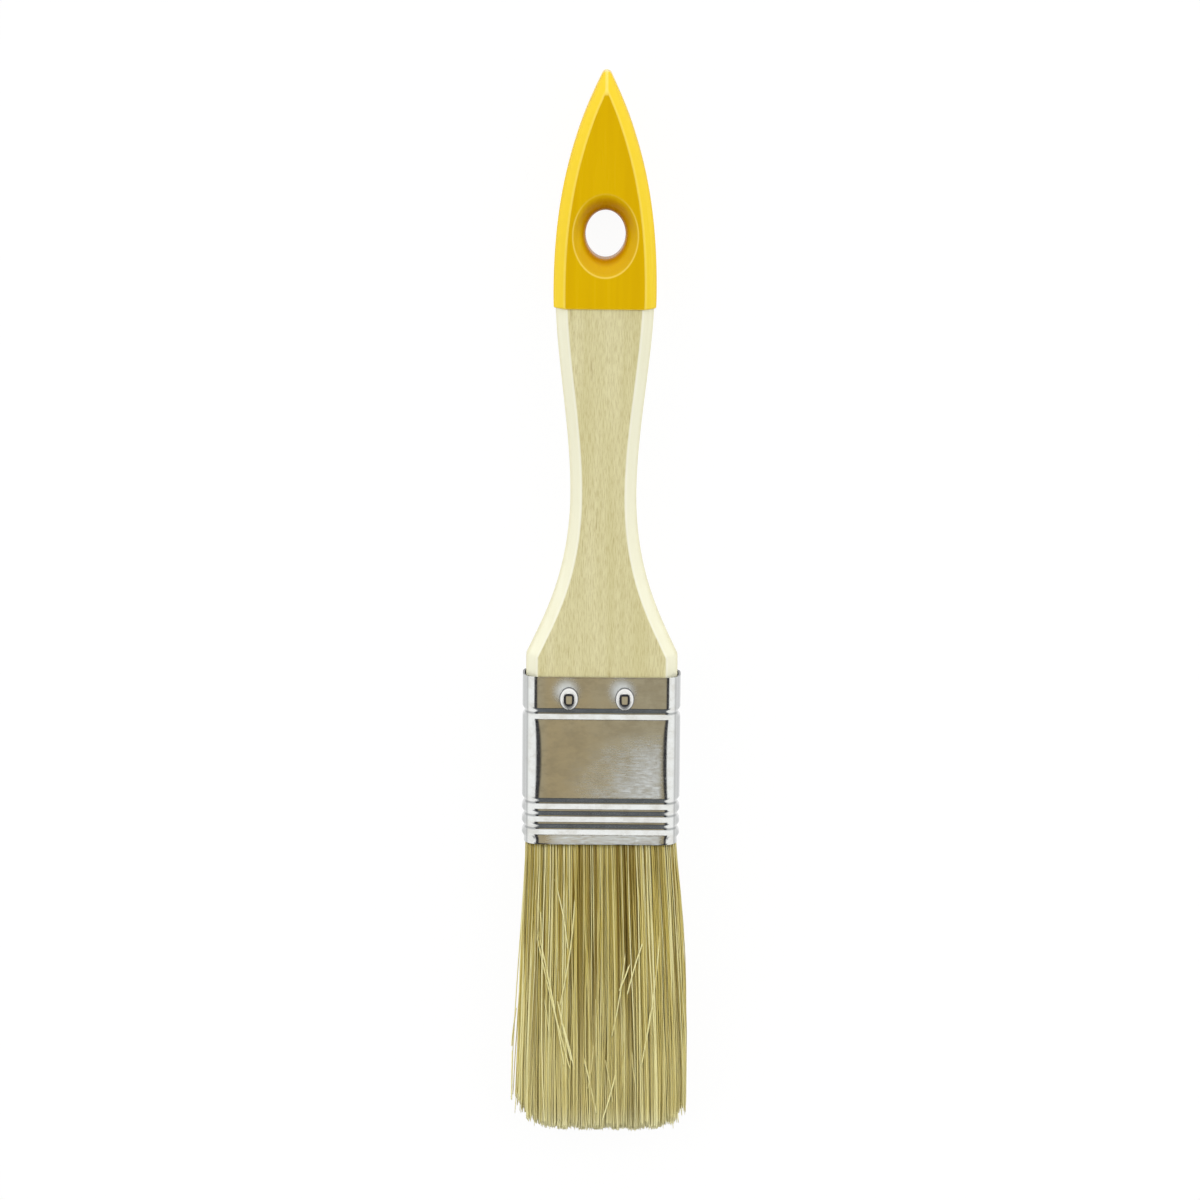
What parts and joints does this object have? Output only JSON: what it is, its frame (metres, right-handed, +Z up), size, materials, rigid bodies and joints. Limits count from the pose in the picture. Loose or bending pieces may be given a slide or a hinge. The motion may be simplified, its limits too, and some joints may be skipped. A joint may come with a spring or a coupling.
{
  "type": "paint brush",
  "caption": "Flat paint brush with a waisted wooden handle, a yellow dipped tip with a hang hole, a nailed metal ferrule and pale bristles.",
  "frame": {"origin": "on the surface that the brush lies on, under the middle of its length and width", "axes": "+X across the brush, +Y along it towards the handle's tip, +Z up out of the front face; the brush lies on its back"},
  "size_m": [0.0306, 0.1835, 0.011],
  "materials": {
    "bare_wood": "bare sanded pale wood with fine straight grain",
    "yellow_coat": "satin dipped paint",
    "ferrule_metal": "bright tinned steel, pressed",
    "nail_metal": "bright domed heads",
    "set_resin": "poured and set",
    "plug_wood": "rough sawn",
    "bristle_hair": "natural hog hair with paler split tips"
  },
  "bodies": {
    "root": {"handle": "bare_wood", "dip_coat": "yellow_coat", "ferrule": "ferrule_metal", "nail_front_left": "nail_metal", "nail_front_right": "nail_metal", "nail_rear_left": "nail_metal", "nail_rear_right": "nail_metal", "resin_setting": "set_resin", "spacer_plug": "plug_wood", "bristle_pack_front": "bristle_hair", "bristle_pack_rear": "bristle_hair"}
  },
  "joints": []
}
